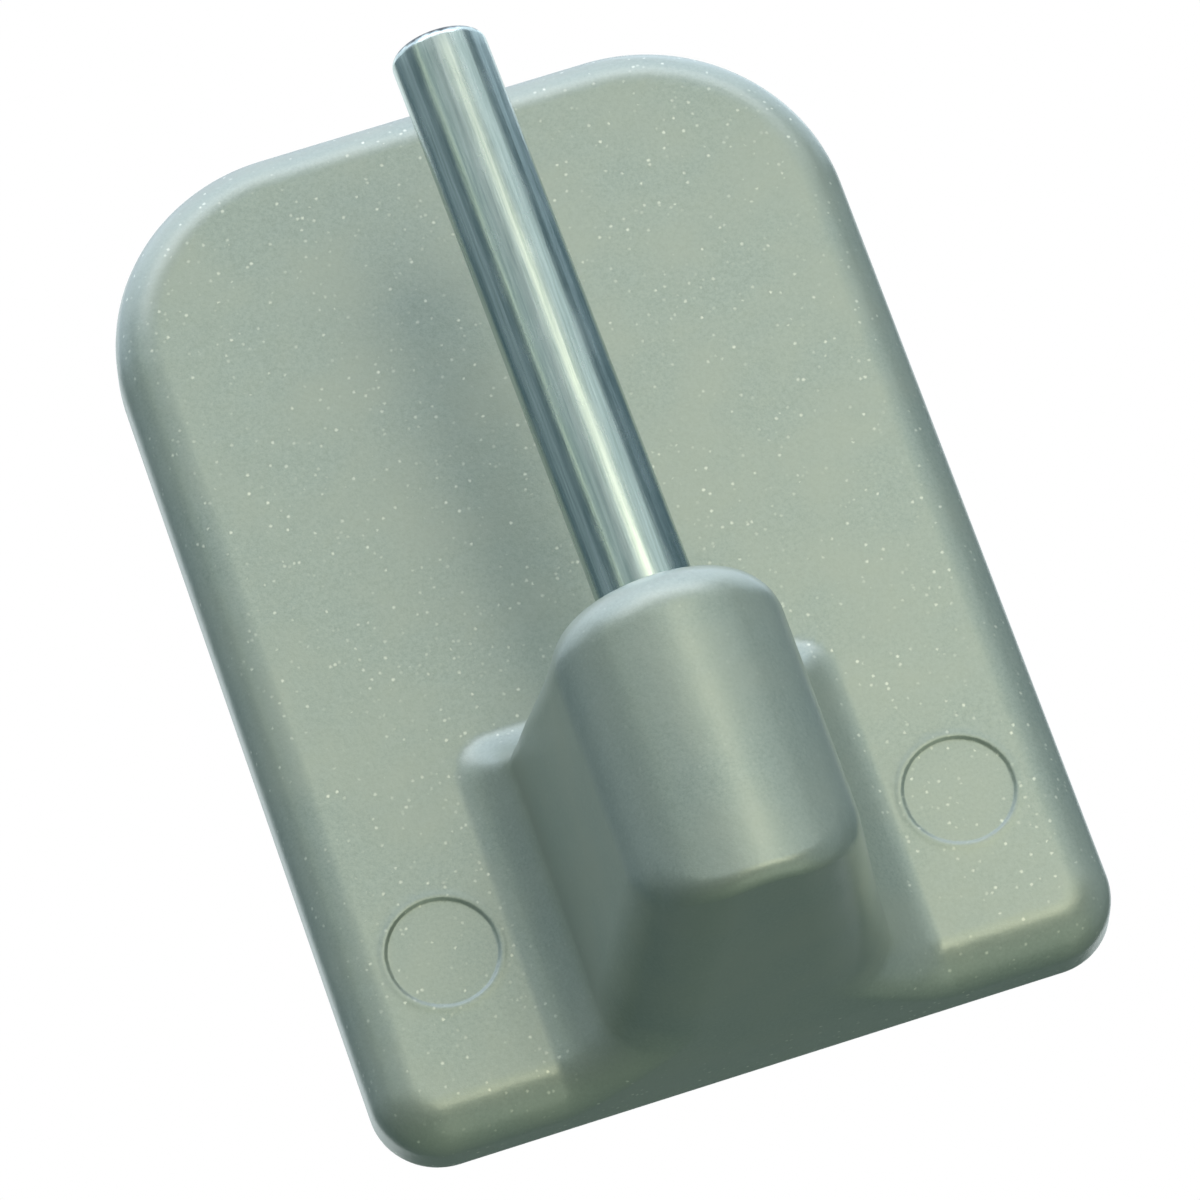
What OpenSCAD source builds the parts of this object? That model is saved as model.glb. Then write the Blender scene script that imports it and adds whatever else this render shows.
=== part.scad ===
// Self-adhesive hook for a curtain rod: a moulded plate whose boss holds an upright steel pin, on a
// foam pad with a peel-off liner. X runs across the plate, Y into the wall and Z up along the pin.
// The origin is the middle of the face that goes to the wall. All lengths are in millimetres.

/* [Plate] */
// Width of the plate
plate_w = 22; // [18:0.5:40]
// Height of the plate
plate_h = 31; // [24:0.5:60]
// Thickness of the plate
plate_t = 2.35; // [1.8:0.05:4]
// Radius of the plate's two upper corners
plate_top_r = 6; // [3:0.5:8]
// Radius of the plate's two lower corners
plate_bottom_r = 2; // [1.6:0.1:5]
// Radius that rounds the plate's front edge and the lower side edges of the boss
plate_edge_r = 1.4; // [0.4:0.1:1.5]

/* [Boss] */
// Height of the boss along the pin
boss_h = 10; // [7:0.5:16]
// Width of the boss where it leaves the plate
boss_root_w = 8.6; // [7.5:0.1:10]
// Radius of the boss's front, round the pin
boss_r = 3.35; // [2.2:0.05:3.6]
// Radius that rounds the upper edge of the boss's front
boss_top_r = 1.5; // [0.4:0.1:1.8]
// Radius that rounds the lower edge of the boss's front
boss_rim_r = 0.5; // [0.1:0.05:1]
// Radius of the boss's upper corners where it leaves the plate
boss_corner_r = 0.3; // [0.2:0.1:1.6]
// Radius of the fillet between the boss and the plate
boss_fillet_r = 1.35; // [0.6:0.05:2.4]
// How far the underside of the boss rises from the plate to its front
boss_lean = 0.2; // [0.1:0.05:1.5]
// Height of solid plastic under the pin
boss_floor = 2.5; // [1.6:0.1:4]

/* [Pin] */
// Diameter of the pin
pin_d = 2.8; // [2:0.1:3.6]
// Distance from the plate's back to the pin's axis
pin_reach = 11.35; // [9:0.05:16]
// Length of the pin above the boss
pin_free = 18.1; // [8:0.1:30]
// Radius that rounds the pin's free end
pin_end_r = 0.3; // [0.1:0.05:0.8]
// Clearance round the pin: the bore is this much wider and the seat this much slimmer, on the radius
pin_gap = 0.02; // [0.01:0.01:0.1]
// Number of knurl teeth on the pin's seat
knurl_teeth = 20; // [12:1:30]
// Depth of the knurl on the pin's seat
knurl_depth = 0.14; // [0.05:0.01:0.25]

/* [Adhesive pad] */
// Distance from the plate's edge to the pad's edge
pad_margin = 1.2; // [0.5:0.1:2.5]
// Radius of the pad's two lower corners
pad_bottom_r = 1.2; // [0.5:0.1:4]
// Thickness of the foam core
foam_t = 0.9; // [0.5:0.05:2]
// Thickness of each adhesive film
adhesive_t = 0.08; // [0.05:0.01:0.2]
// Thickness of the release liner
liner_t = 0.1; // [0.06:0.01:0.2]

/* [Ejector marks] */
// Diameter of an ejector mark
mark_d = 3.2; // [2:0.1:4.5]
// Distance between the centres of the two marks
mark_pitch = 15.4; // [13.5:0.1:17]
// Height of the marks' centres above the plate's lower edge
mark_height = 5.4; // [3.5:0.1:12]
// Depth of an ejector mark
mark_depth = 0.06; // [0.02:0.01:0.2]

/* [Hidden] */
$fn = 96;

// Facets of the shapes that a hull joins
hull_facets = 32;
// How far a cut runs past the surface that it opens
overrun = 0.5;
// How far a blend reaches past the plate's edge round into the solid plate
blend_overlap = (plate_t - plate_edge_r) / 2;
// Depth to which the boss's fillets reach into the plate
blend_depth = plate_edge_r + blend_overlap;

// Distances from the wall's face to the front of each layer of the pad
wall_adhesive_back = liner_t;
foam_back = wall_adhesive_back + adhesive_t;
body_adhesive_back = foam_back + foam_t;
plate_back = body_adhesive_back + adhesive_t;

// Heights of the boss's lower and upper ends
boss_bottom_z = -plate_h / 2;
boss_top_z = boss_bottom_z + boss_h;

// Rectangle about the origin with round corners
module rounded_outline(width, height, top_r, bottom_r) {
  difference() {
    translate([-width / 2, -height / 2]) square([width, height]);
    for (side = [-1, 1]) {
      translate([side * (width / 2 - top_r), height / 2 - top_r]) scale([side, 1]) corner_cut(top_r);
      translate([side * (width / 2 - bottom_r), bottom_r - height / 2]) scale([side, -1]) corner_cut(bottom_r);
    }
  }
}

// What a round of radius r takes off a square corner, seen from the middle of the round
module corner_cut(r) {
  difference() {
    square(r + overrun);
    circle(r);
  }
}

// Places a shape drawn across the plate, whose third axis points out of the wall, at a distance from it
module out_of_wall(distance) {
  translate([0, -distance, 0]) rotate([90, 0, 0]) children();
}

// Stands a shape drawn up from its own origin on the pin's axis, at a height
module on_pin_axis(z) {
  translate([0, z, pin_reach]) rotate([-90, 0, 0]) children();
}

// One straight length of what the edge round takes off, from its start and along its side
module side_cut(start, turn, length) {
  translate(start) rotate([0, 0, turn]) rotate([90, 0, 0]) linear_extrude(length) corner_cut(plate_edge_r);
}

// One quarter turn of what the edge round takes off, about the middle of a corner
module corner_turn_cut(centre, turn, r) {
  translate(centre) rotate([0, 0, turn]) rotate_extrude(angle = 90)
    translate([r - plate_edge_r, 0]) corner_cut(plate_edge_r);
}

// The flat plate with its rounded front edge
module plate() {
  top_x = plate_w / 2 - plate_top_r;
  top_y = plate_h / 2 - plate_top_r;
  bottom_x = plate_w / 2 - plate_bottom_r;
  bottom_y = plate_h / 2 - plate_bottom_r;
  side_x = plate_w / 2 - plate_edge_r;
  end_y = plate_h / 2 - plate_edge_r;
  difference() {
    linear_extrude(plate_t) rounded_outline(plate_w, plate_h, plate_top_r, plate_bottom_r);
    translate([0, 0, plate_t - plate_edge_r]) {
      side_cut([side_x, top_y], 0, top_y + bottom_y);
      side_cut([-top_x, end_y], 90, 2 * top_x);
      side_cut([-side_x, -bottom_y], 180, top_y + bottom_y);
      side_cut([bottom_x, -end_y], 270, 2 * bottom_x);
      corner_turn_cut([top_x, top_y], 0, plate_top_r);
      corner_turn_cut([-top_x, top_y], 90, plate_top_r);
      corner_turn_cut([-bottom_x, -bottom_y], 180, plate_bottom_r);
      corner_turn_cut([bottom_x, -bottom_y], 270, plate_bottom_r);
    }
  }
}

// The boss's front, turned about the pin's axis, with round upper and lower edges
module boss_barrel() {
  height = boss_h - boss_lean;
  on_pin_axis(boss_bottom_z + boss_lean) rotate_extrude($fn = hull_facets) {
    translate([0, boss_rim_r]) square([boss_r, height - boss_top_r - boss_rim_r]);
    square([boss_r - boss_rim_r, boss_rim_r]);
    square([boss_r - boss_top_r, height]);
    translate([boss_r - boss_top_r, height - boss_top_r]) circle(boss_top_r);
    translate([boss_r - boss_rim_r, boss_rim_r]) circle(boss_rim_r);
  }
}

// The boss: drafted walls from a rounded root in the plate to the barrel round the pin
module boss() {
  hull() {
    translate([0, boss_bottom_z + boss_h / 2, 0]) linear_extrude(plate_t + boss_fillet_r, $fn = hull_facets)
      rounded_outline(boss_root_w, boss_h, boss_corner_r, plate_edge_r);
    boss_barrel();
  }
}

// Fillet along one side of the boss, with a round lower end that runs into the plate's edge
module side_fillet() {
  height = boss_h - boss_corner_r;
  flat_r = boss_fillet_r + plate_edge_r;
  translate([boss_root_w / 2 + boss_fillet_r, boss_bottom_z, plate_t + boss_fillet_r])
    rotate([-90, 0, 0]) rotate([0, 0, 90]) {
      rotate_extrude(angle = 90) translate([boss_fillet_r, 0]) difference() {
        square([blend_depth, height]);
        translate([plate_edge_r, plate_edge_r]) scale([-1, -1]) corner_cut(plate_edge_r);
      }
      linear_extrude(plate_edge_r) difference() {
        square(flat_r + blend_overlap);
        circle(flat_r);
      }
    }
}

// Section of the fillet above the boss: its inner corner is where the boss meets the plate
module fillet_section(inward) {
  difference() {
    translate([-inward, -blend_depth]) square([inward + boss_fillet_r, blend_depth + boss_fillet_r]);
    translate([boss_fillet_r, boss_fillet_r]) circle(boss_fillet_r);
  }
}

// Fillet round one upper corner of the boss
module corner_fillet() {
  translate([boss_root_w / 2 - boss_corner_r, boss_top_z - boss_corner_r, plate_t])
    rotate_extrude(angle = 90) translate([boss_corner_r, 0]) fillet_section(boss_corner_r / 2);
}

// Fillet along the boss's upper side
module top_fillet() {
  width = boss_root_w - 2 * boss_corner_r;
  translate([-width / 2, boss_top_z, plate_t]) rotate([90, 0, 90]) linear_extrude(width)
    fillet_section(boss_corner_r / 2);
}

// Shallow round marks that the mould's ejectors leave beside the boss
module ejector_marks() {
  for (side = [-1, 1])
    translate([side * mark_pitch / 2, mark_height - plate_h / 2, plate_t - mark_depth])
      cylinder(d = mark_d, h = mark_depth + overrun);
}

// The moulding: plate and boss in one, with a blind bore for the pin
module hook_body() {
  color([0.62, 0.68, 0.63]) out_of_wall(plate_back) difference() {
    union() {
      plate();
      boss();
      top_fillet();
      for (side = [0, 1]) mirror([side, 0, 0]) {
        side_fillet();
        corner_fillet();
      }
    }
    on_pin_axis(boss_bottom_z + boss_floor)
      cylinder(r = pin_d / 2 + pin_gap, h = boss_h - boss_floor + overrun);
    ejector_marks();
  }
}

// Cross-section of the knurl: straight teeth whose tips stay just inside the pin's own radius
module knurl_section() {
  polygon([for (i = [0 : 2 * knurl_teeth - 1])
    let (r = pin_d / 2 - pin_gap - (i % 2) * knurl_depth, turn = i * 180 / knurl_teeth)
    [r * cos(turn), r * sin(turn)]]);
}

// The pin: a knurled seat in the boss and a smooth free length with a rounded end
module steel_pin() {
  seat = boss_h - boss_floor;
  color([0.62, 0.68, 0.67]) out_of_wall(plate_back) on_pin_axis(boss_bottom_z + boss_floor) {
    linear_extrude(seat) knurl_section();
    translate([0, 0, seat]) rotate_extrude() {
      square([pin_d / 2, pin_free - pin_end_r]);
      square([pin_d / 2 - pin_end_r, pin_free]);
      translate([pin_d / 2 - pin_end_r, pin_free - pin_end_r]) circle(pin_end_r);
    }
  }
}

// One layer of the pad, at its distance from the wall's face
module pad_layer(back, thickness) {
  out_of_wall(back) linear_extrude(thickness)
    rounded_outline(plate_w - 2 * pad_margin, plate_h - 2 * pad_margin, plate_top_r - pad_margin, pad_bottom_r);
}

// Adhesive film between the foam and the moulding
module body_adhesive() {
  color([0.9, 0.88, 0.8]) pad_layer(body_adhesive_back, adhesive_t);
}

// Foam core of the pad
module foam_core() {
  color([0.93, 0.93, 0.91]) pad_layer(foam_back, foam_t);
}

// Adhesive film that sticks to the wall
module wall_adhesive() {
  color([0.9, 0.88, 0.8]) pad_layer(wall_adhesive_back, adhesive_t);
}

// Liner that covers the wall adhesive until the hook is put up
module release_liner() {
  color([0.95, 0.93, 0.82]) pad_layer(0, liner_t);
}

hook_body();
steel_pin();
body_adhesive();
foam_core();
wall_adhesive();
release_liner();
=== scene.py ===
"""Looks of the adhesive curtain rod hook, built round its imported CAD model.

Lengths are in millimetres in the hook's own coordinates: u across the plate, v up from its lower
edge and n out from its back. row_points() turns them into the metres of the row frame.
"""
import math

import bmesh
import bpy
import numpy as np
from mathutils import Matrix, Quaternion, Vector, noise


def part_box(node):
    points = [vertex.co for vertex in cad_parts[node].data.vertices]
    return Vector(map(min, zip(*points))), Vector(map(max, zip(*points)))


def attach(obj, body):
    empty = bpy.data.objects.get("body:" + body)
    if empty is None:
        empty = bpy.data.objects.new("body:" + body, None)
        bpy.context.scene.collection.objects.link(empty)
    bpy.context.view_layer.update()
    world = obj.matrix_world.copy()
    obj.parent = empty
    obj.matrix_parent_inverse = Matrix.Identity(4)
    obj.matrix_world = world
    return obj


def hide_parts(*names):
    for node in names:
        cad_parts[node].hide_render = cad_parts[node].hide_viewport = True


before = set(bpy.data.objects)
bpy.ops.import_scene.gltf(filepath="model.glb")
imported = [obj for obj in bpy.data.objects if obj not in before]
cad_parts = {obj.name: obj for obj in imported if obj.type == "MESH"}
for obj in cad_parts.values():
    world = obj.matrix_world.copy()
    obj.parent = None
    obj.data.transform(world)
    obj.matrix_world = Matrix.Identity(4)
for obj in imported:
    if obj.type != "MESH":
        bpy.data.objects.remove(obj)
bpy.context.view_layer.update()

MM = 0.001


def in_mm(length):
    """Millimetres of a length in metres, to the micrometre."""
    return round(length / MM, 3)


BODY_LOW, BODY_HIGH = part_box("hook_body")
PIN_LOW, PIN_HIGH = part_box("steel_pin")
FOAM_LOW, FOAM_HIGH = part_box("foam_core")

# The plate
PLATE_W = in_mm(BODY_HIGH.x - BODY_LOW.x)
PLATE_H = in_mm(BODY_HIGH.z - BODY_LOW.z)
PLATE_T = 2.35
PLATE_TOP_R = 6.0
PLATE_BOTTOM_R = 2.0
PLATE_EDGE_R = 1.38
PLATE_BACK_R = 0.14
# Distance from the wall's face to the plate's back
PLATE_BACK = in_mm(-BODY_HIGH.y)

# The pin: a knurled seat in the boss and a smooth shaft, bent a little to the left at its mouth
PIN_R = in_mm((PIN_HIGH.x - PIN_LOW.x) / 2)
PIN_REACH = in_mm(BODY_HIGH.y - (PIN_LOW.y + PIN_HIGH.y) / 2)
PIN_TOP = in_mm(PIN_HIGH.z - BODY_LOW.z)
PIN_END_R = 0.33
PIN_GAP = 0.02
# How far below its end the darker band at the wire's tip starts
PIN_DARK_END = 0.2
# Sideways for each millimetre up, and how far from the mouth the bend reaches
PIN_LEAN = 0.0155
PIN_BEND = 1.2
PIN_SIDES = 120
SHAFT_RINGS = 40
# The seat's tapered tip: how much narrower and how long it is
SEAT_TIP_IN = 0.35
SEAT_TIP = 0.3
KNURL_TEETH = 20
KNURL_DEPTH = 0.14
# How far above the seat's foot its straight teeth start, and the height that they end at
KNURL_START = 0.5
KNURL_TOP = 9.4
KNURL_RINGS = 10
# Above the knurl: the plain stretch that it runs out in, and the step to the shaft's full width
KNURL_RUN_OUT = 0.3
SHAFT_STEP = 0.15

# The boss
BOSS_H = 10.0
BOSS_R = in_mm(BODY_HIGH.y - BODY_LOW.y - PIN_REACH * MM)
# Half width of the boss's walls, carried on to the plate's back
BOSS_BACK_R = 4.62
# Its upper edge's radius, at the front and at the root
BOSS_TOP_R = 1.5
BOSS_CORNER_R = 0.45
# How much higher its lower end is at the front than at the root
BOSS_LEAN = 0.2
# Height of the bore's floor
BOSS_FLOOR = in_mm(PIN_LOW.z - BODY_LOW.z)
# The flare at its foot: legs, and how square its corners and how straight its slope are
FLARE = 1.3
FLARE_CORNER_POWER = 3.5
FLARE_SLOPE_POWER = 1.45
# Its lower edge is soft along the sides: the radius grows to SIDE_R this far out from the face
SIDE_R = 2.3
SIDE_REACH = 2.5
# The rim under its round front is crisp, and fades out between two heights
RIM_R = 0.5
RIM_WHOLE = 2.5
RIM_GONE = 4.0
# A radius that is as good as none
SHARP = 1e-6

# The ejector marks: sunk discs, with a sloped rim as wide as MARK_SLOPE and a low ridge round it
MARK_R = 1.6
MARK_U = 7.7
MARK_V = 5.4
MARK_DEPTH = 0.07
MARK_SLOPE = 0.11
MARK_RIDGE = 0.015

# The foam of the pad, and the pits that its cut cells leave
PAD_MARGIN = in_mm(BODY_HIGH.x - FOAM_HIGH.x)
PAD_BOTTOM_R = 1.2
FOAM_BACK = in_mm(BODY_HIGH.y - FOAM_HIGH.y)
FOAM_FRONT = in_mm(BODY_HIGH.y - FOAM_LOW.y)
FOAM_BULGE = 0.06
FOAM_CELLS_PER_MM = 3.2
FOAM_PIT = 0.07
# How far from a cell's middle its pit reaches, in cells
FOAM_PIT_REACH = 0.55
FOAM_SPACING = 0.13
FOAM_RINGS = 11

# The moulding's flakes: the share of cells without one, and how far their outlines are bent
FLAKE_CELLS_PER_MM = 7.0
FLAKELESS = 0.88
FLAKE_BEND = 0.06

# The moulding's mesh: its cell, and how far a point may move in one round
BODY_CELL = 0.2
COARSE_MOVE = 0.12
FINE_MOVE = 0.06
# The step that a field's slope is measured over, and the least slope that a move divides by
SLOPE_STEP = 0.008
LEAST_SLOPE = 0.05
# Keeps a division from zero
TINY = 1e-9
# The mesh is finer at the plate's back edge: behind this n, and this near the outline
BACK_EDGE_N = 0.32
BACK_EDGE_IN = 0.45
# at the arch under the boss's front: beyond this n and below this v
ARCH_N = 12.2
ARCH_V = 1.1
# at the bore's mouth: this near the bore's wall and the boss's top
MOUTH_BAND = 0.35
MOUTH_DEPTH = 0.5
# and at the ejector marks: this near their rings, and beyond this n
MARK_BAND = 0.3
MARK_N = 1.6


def row_points(points):
    """Row frame points, in metres, of points (u, v, n) in millimetres."""
    u, v, n = np.asarray(points, float).T
    return np.stack([u, -(PLATE_BACK + n), v - PLATE_H / 2], 1) * MM


def row_vectors(vectors):
    """Row frame directions of directions (u, v, n)."""
    u, v, n = np.asarray(vectors, float).T
    return np.stack([u, -n, v], 1)


def smooth_step(low, high, x):
    """0 at low, 1 at high and smooth between. Low may be the larger of the two."""
    t = np.clip((x - low) / (high - low), 0, 1)
    return t * t * (3 - 2 * t)


# Distance fields


def span_norm(a, b, power):
    """Length of the two parts above zero. A power over 2 gives squarer corners, a lower one flatter."""
    return (np.maximum(a, 0) ** power + np.maximum(b, 0) ** power) ** (1 / power)


def round_cut(a, b, r, power=2.0):
    """Where two solids overlap, with their shared edge rounded to radius r."""
    return np.minimum(-r, np.maximum(a, b)) + span_norm(r + a, r + b, power)


def round_join(a, b, r, power=2.0):
    """Two solids together, with a fillet of radius r between them."""
    return np.maximum(r, np.minimum(a, b)) - span_norm(r - a, r - b, power)


def outline_field(u, v):
    """The plate's outline, with larger round corners at the top."""
    middle = PLATE_H / 2
    r = np.where(v > middle, PLATE_TOP_R, PLATE_BOTTOM_R)
    across = np.abs(u) - PLATE_W / 2 + r
    along = np.abs(v - middle) - middle + r
    inside = np.minimum(np.maximum(across, along), 0)
    return inside + np.hypot(np.maximum(across, 0), np.maximum(along, 0)) - r


def boss_sides(u, n):
    """The boss's drafted side walls, and the round front about the pin that they run into."""
    sine = (BOSS_BACK_R - BOSS_R) / PIN_REACH
    cosine = math.sqrt(1 - sine * sine)
    across = np.abs(u)
    walls = cosine * across + sine * n - BOSS_BACK_R
    ahead = cosine * (n - PIN_REACH) - sine * across
    front = np.hypot(across, n - PIN_REACH) - BOSS_R
    barrel = np.where(ahead > 0, front, walls + np.minimum(ahead, 0))
    return walls, barrel


def face_height(u, v):
    """How far the plate's face stands from its back, with the two ejector marks and their ridges."""
    off = np.hypot(np.abs(u) - MARK_U, v - MARK_V) - MARK_R
    dip = MARK_DEPTH * smooth_step(MARK_SLOPE / 2, -MARK_SLOPE / 2, off)
    return PLATE_T - dip + MARK_RIDGE * np.exp(-((off - MARK_SLOPE) / MARK_SLOPE) ** 2)


def boss_field(walls, barrel, v, n):
    """The boss: domed at the top, more so further out, and square at its foot."""
    sides = np.where(v < BOSS_H / 2, walls, np.maximum(walls, barrel))
    top = v - BOSS_H
    out = smooth_step(PLATE_T + FLARE, PIN_REACH, n)
    boss = round_cut(sides, top, BOSS_CORNER_R + (BOSS_TOP_R - BOSS_CORNER_R) * out)
    foot = round_cut(sides, top, BOSS_CORNER_R, FLARE_CORNER_POWER)
    return boss + (foot - boss) * smooth_step(PLATE_T + 2 * FLARE, PLATE_T + FLARE, n)


def body_field(points):
    """Signed distance, near enough, to the moulding's surface."""
    u, v, n = points.T
    walls, barrel = boss_sides(u, n)
    boss = boss_field(walls, barrel, v, n)
    front = round_join(n - face_height(u, v), boss, FLARE, FLARE_SLOPE_POWER)
    rise = BOSS_LEAN * np.clip((n - PLATE_T) / (PIN_REACH + BOSS_R - PLATE_T), 0, 1)
    edge_r = PLATE_EDGE_R + (SIDE_R - PLATE_EDGE_R) * smooth_step(PLATE_T, PLATE_T + SIDE_REACH, n)
    solid = round_cut(front, outline_field(u, v - rise), edge_r)
    # The rim fades out where the round front meets the side walls
    rim_r = np.clip(-walls, 0, RIM_R) * smooth_step(RIM_GONE, RIM_WHOLE, v)
    solid = round_cut(solid, barrel, np.maximum(rim_r, SHARP))
    solid = round_cut(solid, -n, PLATE_BACK_R)
    bore = np.maximum(np.hypot(u, n - PIN_REACH) - PIN_R - PIN_GAP, BOSS_FLOOR - v)
    return np.maximum(solid, -bore)


# Meshes


def field_slope(field, points):
    """The field's slope at each point."""
    slope = np.empty_like(points)
    for k in range(3):
        shift = np.zeros(3)
        shift[k] = SLOPE_STEP
        slope[:, k] = (field(points + shift) - field(points - shift)) / (2 * SLOPE_STEP)
    return slope


def onto_surface(field, points, most, rounds=5):
    """Moves points to the field's zero level, each no further than most in one round."""
    for _ in range(rounds):
        value = field(points)
        slope = field_slope(field, points)
        move = slope * (value / np.maximum((slope ** 2).sum(1), LEAST_SLOPE))[:, None]
        length = np.linalg.norm(move, axis=1)
        points = points - move * np.minimum(1, most / np.maximum(length, TINY))[:, None]
    return points


def grid_values(field, axes):
    """The field at every point of a grid, one sheet at a time."""
    value = np.empty(tuple(len(a) for a in axes))
    v, n = np.meshgrid(axes[1], axes[2], indexing="ij")
    for i, u in enumerate(axes[0]):
        sheet = np.stack([np.full(v.size, u), v.ravel(), n.ravel()], 1)
        value[i] = field(sheet).reshape(v.shape)
    return value


def surface_net(field, low, high, cell):
    """Points and quads of a closed net round the field's zero level."""
    axes = [np.arange(a - cell * 1.5, b + cell * 2.5, cell) for a, b in zip(low, high)]
    inside = grid_values(field, axes) < 0
    # A grid cell whose corners are on both sides holds one point of the net
    corner = [slice(None, -1), slice(1, None)]
    total = sum(inside[corner[i], corner[j], corner[k]].astype(int)
                for i in (0, 1) for j in (0, 1) for k in (0, 1))
    cells = np.argwhere((total > 0) & (total < 8))
    ids = np.full(inside.shape, -1)
    ids[tuple(cells.T)] = np.arange(len(cells))
    points = np.stack([axes[k][cells[:, k]] + cell / 2 for k in range(3)], 1)
    # A grid edge that crosses the surface gives one quad, through the four cells round it
    quads = []
    for k in range(3):
        edges = np.argwhere(inside != np.roll(inside, -1, axis=k))
        edges = edges[edges[:, k] < inside.shape[k] - 1]
        a, b = [j for j in range(3) if j != k]
        ring = []
        for da, db in ((0, 0), (-1, 0), (-1, -1), (0, -1)):
            at = edges.copy()
            at[:, a] += da
            at[:, b] += db
            ring.append(ids[tuple(at.T)])
        ring = np.stack(ring, 1)
        flip = inside[tuple(edges.T)] == (k == 1)
        ring[flip] = ring[flip][:, ::-1]
        quads.append(ring)
    return points, np.concatenate(quads)


def mesh_object(name, points, faces, normals=None):
    """A smooth mesh object of row frame points in metres."""
    mesh = bpy.data.meshes.new(name)
    mesh.from_pydata([tuple(p) for p in points], [], [tuple(f) for f in faces])
    mesh.update()
    mesh.polygons.foreach_set("use_smooth", [True] * len(mesh.polygons))
    if normals is not None:
        mesh.normals_split_custom_set_from_vertices([tuple(x) for x in normals])
    made = bpy.data.objects.new(name, mesh)
    bpy.context.scene.collection.objects.link(made)
    return made


def refined(points, faces, near):
    """Cuts in two the edges of the faces whose middle is near a detail."""
    bm = bmesh.new()
    verts = [bm.verts.new(p) for p in points]
    bm.verts.ensure_lookup_table()
    for f in faces:
        bm.faces.new([verts[i] for i in f])
    bm.faces.ensure_lookup_table()
    middles = np.array([f.calc_center_median()[:] for f in bm.faces])
    chosen = near(middles)
    edges = {e for f, take in zip(bm.faces, chosen) if take for e in f.edges}
    bmesh.ops.subdivide_edges(bm, edges=list(edges), cuts=1, use_grid_fill=True)
    bm.verts.index_update()
    points = np.array([v.co[:] for v in bm.verts])
    faces = [[v.index for v in f.verts] for f in bm.faces]
    bm.free()
    return points, faces


def near_marks(p):
    """Beside the rings of the ejector marks."""
    u, v, n = p.T
    off = np.abs(np.hypot(np.abs(u) - MARK_U, v - MARK_V) - MARK_R)
    return (off < MARK_BAND) & (n > MARK_N)


def near_fine_edges(p):
    """The plate's back edge, the arch under the boss's front, the bore's mouth and the marks."""
    u, v, n = p.T
    back = (n < BACK_EDGE_N) & (outline_field(u, v) > -BACK_EDGE_IN)
    arch = (n > ARCH_N) & (v < ARCH_V)
    off = np.abs(np.hypot(u, n - PIN_REACH) - PIN_R)
    mouth = (off < MOUTH_BAND) & (v > BOSS_H - MOUTH_DEPTH)
    return back | arch | mouth | near_marks(p)


# Materials


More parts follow.
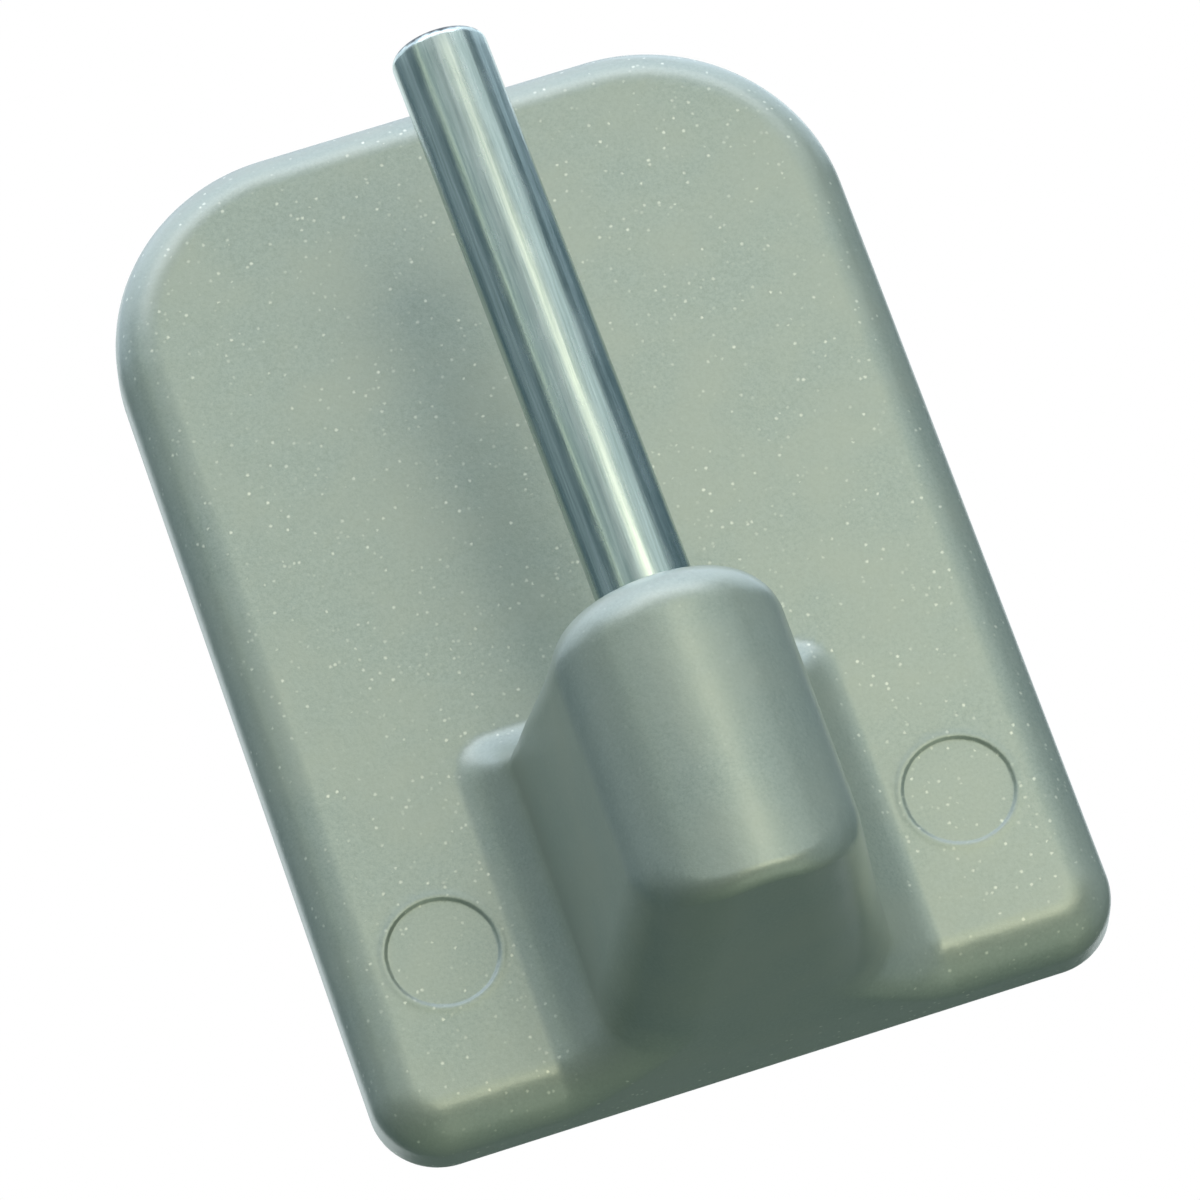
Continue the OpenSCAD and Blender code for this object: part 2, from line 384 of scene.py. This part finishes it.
class Nodes:
    """A material's node tree, with short calls for the nodes that the materials here use.

    Textures are placed in millimetres of the row frame.
    """

    def __init__(self, name, **principled):
        self.material = bpy.data.materials.new(name)
        self.material.use_nodes = True
        self.tree = self.material.node_tree
        self.shader = next(n for n in self.tree.nodes if n.type == "BSDF_PRINCIPLED")
        for socket, value in principled.items():
            self.shader.inputs[socket.replace("_", " ")].default_value = value
        place = self.add("ShaderNodeTexCoord")
        self.place = self.math3("MULTIPLY", place.outputs["Object"], (1 / MM,) * 3)

    def add(self, kind, **settings):
        """A new node."""
        node = self.tree.nodes.new(kind)
        for key, value in settings.items():
            setattr(node, key, value)
        return node

    def link(self, out, socket):
        """Feeds a socket from another node's."""
        self.tree.links.new(out, socket)

    def put(self, socket, value):
        """Sets a socket to a value or to another node's output."""
        if isinstance(value, bpy.types.NodeSocket):
            self.link(value, socket)
        else:
            socket.default_value = value

    def math(self, operation, *values):
        """A sum, product or power."""
        node = self.add("ShaderNodeMath", operation=operation)
        for socket, value in zip(node.inputs, values):
            self.put(socket, value)
        return node.outputs[0]

    def math3(self, operation, *values):
        """The same for vectors."""
        node = self.add("ShaderNodeVectorMath", operation=operation)
        for socket, value in zip(node.inputs, values):
            self.put(socket, value)
        return node.outputs[0]

    def along(self, axis):
        """The place's X, Y or Z."""
        parts = self.add("ShaderNodeSeparateXYZ")
        self.link(self.place, parts.inputs[0])
        return parts.outputs[axis]

    def stretched(self, x, y, z):
        """The place with each axis scaled. A scale under 1 draws a texture out along it."""
        return self.math3("MULTIPLY", self.place, (x, y, z))

    def noise(self, scale, detail=2.0, roughness=0.5, vector=None, output="Fac"):
        """Soft noise, scale lumps to the millimetre."""
        node = self.add("ShaderNodeTexNoise")
        self.link(vector or self.place, node.inputs["Vector"])
        node.inputs["Scale"].default_value = scale
        node.inputs["Detail"].default_value = detail
        node.inputs["Roughness"].default_value = roughness
        return node.outputs[output]

    def cells(self, scale, vector=None, feature="F1"):
        """Scattered cells, scale to the millimetre."""
        node = self.add("ShaderNodeTexVoronoi", feature=feature)
        self.link(vector or self.place, node.inputs["Vector"])
        node.inputs["Scale"].default_value = scale
        return node

    def span(self, value, low, high, to_low=0.0, to_high=1.0):
        """value from low to high made to run from to_low to to_high, and no further."""
        node = self.add("ShaderNodeMapRange")
        for socket, x in zip(node.inputs, (value, low, high, to_low, to_high)):
            self.put(socket, x)
        return node.outputs[0]

    def mix(self, share, a, b):
        """Colour a, with this share of colour b."""
        node = self.add("ShaderNodeMix", data_type="RGBA")
        self.put(node.inputs["Factor"], share)
        for socket, value in zip([s for s in node.inputs if s.type == "RGBA"], (a, b)):
            self.put(socket, value)
        return next(s for s in node.outputs if s.type == "RGBA")

    def bump(self, height, strength, distance, normal=None):
        """A normal bent by height, whose range stands for distance in metres."""
        node = self.add("ShaderNodeBump")
        node.inputs["Strength"].default_value = strength
        node.inputs["Distance"].default_value = distance
        self.link(height, node.inputs["Height"])
        if normal is not None:
            self.link(normal, node.inputs["Normal"])
        return node.outputs["Normal"]

    def set(self, **sockets):
        """Feeds the shader's own sockets."""
        for socket, value in sockets.items():
            self.put(self.shader.inputs[socket.replace("_", " ")], value)


def rgb(r, g, b):
    """Linear colour of an sRGB one in 0 to 255."""
    return tuple(((c / 255 + 0.055) / 1.055) ** 2.4 for c in (r, g, b)) + (1.0,)


def flake_glints(m):
    """How bright a flake each point holds, a painted glint on a real flake: one cell in eight has one.
    The boss shows them faintly.
    """
    bend = m.math3("MULTIPLY", m.noise(14.0, output="Color"), (FLAKE_BEND,) * 3)
    cell = m.cells(FLAKE_CELLS_PER_MM, vector=m.math3("ADD", m.place, bend))
    lot = m.add("ShaderNodeSeparateColor")
    m.link(cell.outputs["Color"], lot.inputs[0])
    strength = m.math("POWER", m.span(lot.outputs[0], FLAKELESS, 1.0), 1.5)
    disc = m.span(cell.outputs["Distance"], 0.18, 0.46, 1.0, 0.0)
    behind_face = m.math("ADD", m.along("Y"), PLATE_BACK + PLATE_T)
    in_plate = m.span(behind_face, -0.25, -0.1, 0.15, 1.0)
    return m.math("MULTIPLY", m.math("MULTIPLY", disc, strength), in_plate)


def moulding_material():
    """Silver-grey plastic filled with fine metal flake."""
    m = Nodes("metallic_plastic", Metallic=0.5, IOR=1.4, Coat_Weight=0.6, Coat_Roughness=0.2)
    grain = m.noise(9.0, detail=3.0, roughness=0.7)
    cloud = m.noise(0.35)
    base = m.mix(m.span(grain, 0.3, 0.7), rgb(150, 162, 152), rgb(166, 178, 168))
    base = m.mix(m.span(cloud, 0.35, 0.65, 0.0, 0.5), base, rgb(168, 176, 162))
    # The flakes are real; their glints are painted into the base colour as light spots.
    base = m.mix(flake_glints(m), base, rgb(216, 221, 207))
    m.set(Base_Color=base, Roughness=m.span(grain, 0.3, 0.7, 0.4, 0.5))
    waves = m.bump(m.noise(0.9), strength=0.3, distance=0.00006)
    uneven = m.bump(grain, strength=0.25, distance=0.00002, normal=waves)
    m.set(Normal=uneven, Coat_Normal=uneven)
    return m.material


def steel_material():
    """Bright drawn steel with fine lines along the wire, darker in a band at its end."""
    m = Nodes("zinc_plated_steel", Metallic=1.0)
    lines = m.noise(10.0, detail=4.0, roughness=0.65, vector=m.stretched(1, 1, 0.03))
    marks = m.noise(2.2, detail=3.0, vector=m.stretched(1, 1, 0.3))
    base = m.mix(m.span(lines, 0.3, 0.7), rgb(176, 190, 184), rgb(212, 222, 216))
    # The wire is darker in a band below its end, whose lower edge wavers a little.
    height = m.math("ADD", m.along("Z"), m.span(m.noise(4.0), 0.3, 0.7, -0.06, 0.06))
    top = PIN_TOP - PLATE_H / 2
    dark_end = m.span(height, top - PIN_DARK_END, top - PIN_DARK_END / 2)
    base = m.mix(dark_end, base, rgb(62, 70, 70))
    m.set(Base_Color=base, Roughness=m.span(marks, 0.3, 0.7, 0.2, 0.3))
    m.set(Normal=m.bump(lines, strength=0.12, distance=0.00003))
    return m.material


def adhesive_material():
    """Clear, slightly yellow acrylic adhesive."""
    m = Nodes("acrylic_adhesive", IOR=1.47)
    grain = m.noise(3.0, detail=3.0)
    base = m.mix(m.span(grain, 0.3, 0.7), rgb(226, 220, 196), rgb(238, 234, 216))
    m.set(Base_Color=base, Roughness=m.span(grain, 0.3, 0.7, 0.12, 0.3))
    m.set(Normal=m.bump(grain, strength=0.3, distance=0.00003))
    return m.material


def foam_material():
    """White closed-cell foam, whose cut side shows its cells, with painted shade darkening their pits.
    """
    m = Nodes("closed_cell_foam", Roughness=0.85)
    cell = m.cells(6.0, feature="SMOOTH_F1").outputs["Distance"]
    # Painted shade: each cell's pit is darker towards its bottom, where the bump is lowest.
    m.set(Base_Color=m.mix(m.span(cell, 0.1, 0.7), rgb(205, 205, 198), rgb(240, 240, 234)))
    m.set(Normal=m.bump(cell, strength=0.9, distance=0.00006))
    return m.material


def liner_material():
    """Siliconised paper with faint fibres."""
    m = Nodes("siliconised_paper")
    fibre = m.noise(2.0, detail=6.0, roughness=0.7, vector=m.stretched(0.5, 1, 2.2))
    cloud = m.noise(0.25, detail=3.0)
    base = m.mix(m.span(fibre, 0.3, 0.7), rgb(236, 229, 205), rgb(246, 241, 222))
    base = m.mix(m.span(cloud, 0.35, 0.65, 0.0, 0.5), base, rgb(240, 235, 218))
    m.set(Base_Color=base, Roughness=m.span(fibre, 0.3, 0.7, 0.34, 0.5))
    m.set(Normal=m.bump(fibre, strength=0.25, distance=0.00005))
    return m.material


def dress(piece, material):
    """Gives a piece one material."""
    piece.data.materials.clear()
    piece.data.materials.append(material)


def take_over(piece, node, material):
    """piece stands for a CAD node of the hook's body and rides on it."""
    dress(piece, material)
    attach(piece, "hook")
    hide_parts(node)


# Pieces


def make_body():
    """The moulding: a net over its field, finer at small details, with the field's own normals."""
    half = PLATE_W / 2
    high = (half, PLATE_H, PIN_REACH + BOSS_R)
    points, faces = surface_net(body_field, (-half, 0, 0), high, BODY_CELL)
    points = onto_surface(body_field, points, COARSE_MOVE)
    points, faces = refined(points, faces.tolist(), near_fine_edges)
    points, faces = refined(points, faces, near_marks)
    points = onto_surface(body_field, points, FINE_MOVE)
    slope = field_slope(body_field, points)
    slope /= np.maximum(np.linalg.norm(slope, axis=1), TINY)[:, None]
    body = mesh_object("metallic_moulding", row_points(points), faces, row_vectors(slope))
    take_over(body, "hook_body", moulding_material())


def closed_wall(rings):
    """Points and faces of a wall of rings of equally many points, closed by a point at each end."""
    count = len(rings[0])
    points = np.concatenate([[np.mean(rings[0], 0)], *rings, [np.mean(rings[-1], 0)]])
    last = len(points) - 1
    faces = []
    for j in range(count):
        k = (j + 1) % count
        faces.append((0, 1 + j, 1 + k))
        for i in range(len(rings) - 1):
            a, b = 1 + i * count, 1 + (i + 1) * count
            faces.append((a + j, b + j, b + k, a + k))
        a = last - count
        faces.append((a + j, last, a + k))
    return points, faces


def pin_profile():
    """Height, radius and knurl depth of each ring, from the foot of the seat to the free end."""
    seat_r = PIN_R - PIN_GAP
    rings = [(BOSS_FLOOR, PIN_R / 2, 0)]
    rings += [(BOSS_FLOOR, PIN_R - SEAT_TIP_IN, 0)]
    rings += [(BOSS_FLOOR + SEAT_TIP, seat_r, KNURL_DEPTH)]
    heights = np.linspace(BOSS_FLOOR + KNURL_START, KNURL_TOP, KNURL_RINGS)
    rings += [(v, seat_r, KNURL_DEPTH) for v in heights]
    rings += [(KNURL_TOP + KNURL_RUN_OUT, seat_r, 0)]
    rings += [(KNURL_TOP + KNURL_RUN_OUT + SHAFT_STEP, PIN_R, 0)]
    rings += [(v, PIN_R, 0) for v in np.linspace(BOSS_H, PIN_TOP - PIN_END_R, SHAFT_RINGS)]
    for turn in np.radians(np.arange(9, 91, 9)):
        below, within = PIN_END_R * (1 - math.sin(turn)), PIN_END_R * (1 - math.cos(turn))
        rings.append((PIN_TOP - below, PIN_R - within, 0))
    return rings + [(PIN_TOP, PIN_R / 2, 0)]


def make_pin():
    """The steel wire. It leans to the left above its bend, and stands straight in its seat."""
    turn = np.arange(PIN_SIDES) * 2 * np.pi / PIN_SIDES
    tooth = np.abs(np.arange(PIN_SIDES) * KNURL_TEETH / PIN_SIDES % 1 * 2 - 1)
    rings = []
    for v, r, knurl in pin_profile():
        above = v - BOSS_H
        lean = PIN_LEAN * (above + math.hypot(above, PIN_BEND)) / 2
        out = r - knurl * tooth
        across = out * np.sin(turn) - lean
        rings.append(np.stack([across, np.full(PIN_SIDES, v), PIN_REACH + out * np.cos(turn)], 1))
    points, faces = closed_wall(rings)
    pin = mesh_object("steel_wire_pin", row_points(points), faces)
    take_over(pin, "steel_pin", steel_material())


def pad_corners():
    """Points round the pad's four corners and the outward direction at each."""
    half_w, half_h = PLATE_W / 2 - PAD_MARGIN, PLATE_H / 2 - PAD_MARGIN
    top_r = PLATE_TOP_R - PAD_MARGIN
    quarters = ((1, 1, top_r), (-1, 1, top_r), (-1, -1, PAD_BOTTOM_R), (1, -1, PAD_BOTTOM_R))
    points, ways = [], []
    for quarter, (side_u, side_v, r) in enumerate(quarters):
        centre = np.array([side_u * (half_w - r), side_v * (half_h - r)])
        steps = max(3, round(r * math.pi / 2 / FOAM_SPACING))
        for turn in np.radians(90 * quarter + np.linspace(0, 90, steps + 1)):
            way = np.array([math.cos(turn), math.sin(turn)])
            points.append(centre + way * r)
            ways.append(way)
    return np.array(points), np.array(ways)


def pad_outline():
    """Evenly spaced points round the pad's outline and the outward direction at each."""
    corners, corner_ways = pad_corners()
    points, ways = [], []
    for a, b, way in zip(corners, np.roll(corners, -1, axis=0), corner_ways):
        steps = max(1, round(np.linalg.norm(b - a) / FOAM_SPACING))
        for k in range(steps):
            points.append(a + (b - a) * k / steps)
            ways.append(way)
    return np.array(points) + [0, PLATE_H / 2], np.array(ways)


def make_foam():
    """The pad's foam: its cut side bulges a little and shows opened cells."""
    outline, ways = pad_outline()
    rings = []
    for share in np.linspace(0, 1, FOAM_RINGS):
        n = FOAM_BACK + (FOAM_FRONT - FOAM_BACK) * share
        bulge = FOAM_BULGE * (1 - (2 * share - 1) ** 2)
        inner = 0 < share < 1
        pits = []
        for u, v in outline:
            near = noise.voronoi(Vector((u, v, n)) * FOAM_CELLS_PER_MM)[0][0]
            pits.append(FOAM_PIT * max(0.0, 1 - near / FOAM_PIT_REACH) if inner else 0.0)
        out = outline + ways * (bulge - np.array(pits))[:, None]
        rings.append(np.column_stack([out, np.full(len(out), n)]))
    points, faces = closed_wall(rings[::-1])
    foam = mesh_object("foam_pad", row_points(points), faces)
    take_over(foam, "foam_core", foam_material())


# Camera, floor and light, in metres and degrees

# Azimuth 0 is straight out from the wall and 90 to the right. The roll is about the line of sight
CAMERA_AZIMUTH = -7.61
CAMERA_ELEVATION = -21.5
CAMERA_ROLL = -20.025
CAMERA_AWAY = 0.25616
CAMERA_LENS = 264.8
# Its aim is beside the hook's middle, to the picture's right and up
AIM_RIGHT = 0.339 * MM
AIM_UP = 0.164 * MM
# What the lights aim at, and how far from it they are
MIDDLE = Vector((0.0, -0.005, 0.0))
LIGHT_AWAY = 0.5
# The world's light on the hook, from straight below to straight above
WORLD_BELOW = (0.22, 0.29, 0.24, 1)
WORLD_LOW = (0.12, 0.16, 0.16, 1)
WORLD_HIGH = (0.09, 0.15, 0.18, 1)
WORLD_ABOVE = (0.96, 1.02, 1.2, 1)
# Where the two between are, with straight below 0 and straight above 1
LOW_HEIGHT = 0.35
HIGH_HEIGHT = 0.725
FLOOR_HALF = 8.0
FLOOR_HEIGHT = -0.22


def direction(azimuth, elevation):
    """From the hook towards a place with this azimuth and elevation in degrees."""
    a, e = math.radians(azimuth), math.radians(elevation)
    return Vector((math.sin(a) * math.cos(e), -math.cos(a) * math.cos(e), math.sin(e)))


def make_camera():
    """The camera at the photograph's angle."""
    back = direction(CAMERA_AZIMUTH, CAMERA_ELEVATION)
    level = Vector((-back.y, back.x, 0.0)).normalized()
    right = Quaternion(back, math.radians(CAMERA_ROLL)) @ level
    up = back.cross(right)
    place = back * CAMERA_AWAY + right * AIM_RIGHT + up * AIM_UP
    data = bpy.data.cameras.new("camera")
    data.sensor_width = 36
    data.lens = CAMERA_LENS
    data.clip_start = 0.01
    data.clip_end = 20
    camera = bpy.data.objects.new("camera", data)
    camera.matrix_world = Matrix.Translation(place) @ Matrix((right, up, back)).transposed().to_4x4()
    bpy.context.scene.collection.objects.link(camera)
    bpy.context.scene.camera = camera


def soft_light(name, azimuth, elevation, wide, high, power, colour):
    """A soft box LIGHT_AWAY from the hook, as wide and high as these angles in degrees."""
    way = direction(azimuth, elevation)
    data = bpy.data.lights.new(name, "AREA")
    data.shape = "RECTANGLE"
    data.size = 2 * LIGHT_AWAY * math.tan(math.radians(wide / 2))
    data.size_y = 2 * LIGHT_AWAY * math.tan(math.radians(high / 2))
    data.energy = power
    data.color = colour
    light = bpy.data.objects.new(name, data)
    light.location = MIDDLE + way * LIGHT_AWAY
    light.rotation_mode = "QUATERNION"
    light.rotation_quaternion = way.to_track_quat("Z", "Y")
    bpy.context.scene.collection.objects.link(light)


def make_lights():
    """A wide soft window before the hook, with weaker light from all round."""
    soft_light("window", 12, 9, 40, 28, 0.21, (0.9, 0.95, 0.85))
    soft_light("window_middle", 13, 9, 14, 28, 0.18, (1.0, 0.9, 0.66))
    soft_light("window_low", 15, -8, 40, 14, 0.46, (1.0, 0.95, 0.7))
    soft_light("front_left", -38, 22, 24, 36, 0.068, (0.88, 1.0, 0.93))
    soft_light("front", -9, 29, 30, 30, 0.075, (0.95, 1.0, 0.95))
    soft_light("front_middle", 20, 24, 24, 30, 0.05, (0.92, 1.0, 0.97))
    soft_light("front_right", 50, 25, 30, 32, 0.155, (0.9, 1.0, 1.0))
    soft_light("left_strip", -54, 22, 4, 44, 0.055, (0.92, 1.0, 0.75))
    soft_light("left", -97, 20, 30, 50, 0.06, (0.85, 0.95, 1.0))
    soft_light("high_front", 5, 55, 70, 24, 0.85, (1.0, 0.94, 0.98))
    soft_light("above", 0, 72, 80, 40, 0.85, (0.62, 0.76, 1.0))
    soft_light("above_back", -170, 74, 50, 40, 0.2, (0.82, 0.88, 1.0))
    soft_light("right_low", 90, -12, 60, 50, 0.2, (0.65, 0.8, 1.0))
    soft_light("high_right", 120, 46, 50, 36, 0.45, (0.72, 0.86, 1.0))
    soft_light("high_left", -120, 50, 50, 36, 0.32, (0.75, 0.88, 1.0))
    soft_light("back", 180, 18, 70, 50, 0.9, (0.95, 1.0, 1.0))
    soft_light("below", 40, -60, 60, 50, 0.37, (0.95, 1.0, 0.85))


def make_world():
    """White to the camera. Its light on the hook runs from below over the horizon to the top."""
    world = bpy.data.worlds.new("studio")
    world.use_nodes = True
    tree = world.node_tree
    place = tree.nodes.new("ShaderNodeTexCoord")
    parts = tree.nodes.new("ShaderNodeSeparateXYZ")
    height = tree.nodes.new("ShaderNodeMapRange")
    ramp = tree.nodes.new("ShaderNodeValToRGB")
    seen = tree.nodes.new("ShaderNodeBackground")
    path = tree.nodes.new("ShaderNodeLightPath")
    mix = tree.nodes.new("ShaderNodeMixShader")
    background = tree.nodes["Background"]
    height.inputs["From Min"].default_value = -1
    ramp.color_ramp.elements[0].color = WORLD_BELOW
    ramp.color_ramp.elements[1].color = WORLD_ABOVE
    ramp.color_ramp.elements.new(LOW_HEIGHT).color = WORLD_LOW
    ramp.color_ramp.elements.new(HIGH_HEIGHT).color = WORLD_HIGH
    background.inputs["Strength"].default_value = 1.0
    seen.inputs["Color"].default_value = (1, 1, 1, 1)
    tree.links.new(place.outputs["Generated"], parts.inputs[0])
    tree.links.new(parts.outputs["Z"], height.inputs["Value"])
    tree.links.new(height.outputs[0], ramp.inputs[0])
    tree.links.new(ramp.outputs[0], background.inputs["Color"])
    tree.links.new(path.outputs["Is Camera Ray"], mix.inputs[0])
    tree.links.new(background.outputs[0], mix.inputs[1])
    tree.links.new(seen.outputs[0], mix.inputs[2])
    tree.links.new(mix.outputs[0], tree.nodes["World Output"].inputs[0])
    bpy.context.scene.world = world


def make_floor():
    """A pale floor below the hook, which neither lights it nor shows in it."""
    ways = ((-1, -1), (1, -1), (1, 1), (-1, 1))
    corners = [(x * FLOOR_HALF, y * FLOOR_HALF, FLOOR_HEIGHT) for x, y in ways]
    floor = mesh_object("floor", corners, [(0, 1, 2, 3)])
    m = Nodes("pale_floor", Roughness=0.8)
    m.set(Base_Color=m.mix(m.noise(0.02), rgb(246, 240, 230), rgb(250, 245, 236)))
    dress(floor, m.material)
    floor.visible_diffuse = False
    floor.visible_glossy = False


make_body()
make_pin()
make_foam()
adhesive = adhesive_material()
for name in ("body_adhesive", "wall_adhesive"):
    dress(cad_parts[name], adhesive)
dress(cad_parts["release_liner"], liner_material())

make_camera()
make_world()
make_floor()
make_lights()
bpy.context.scene.view_settings.view_transform = "Standard"
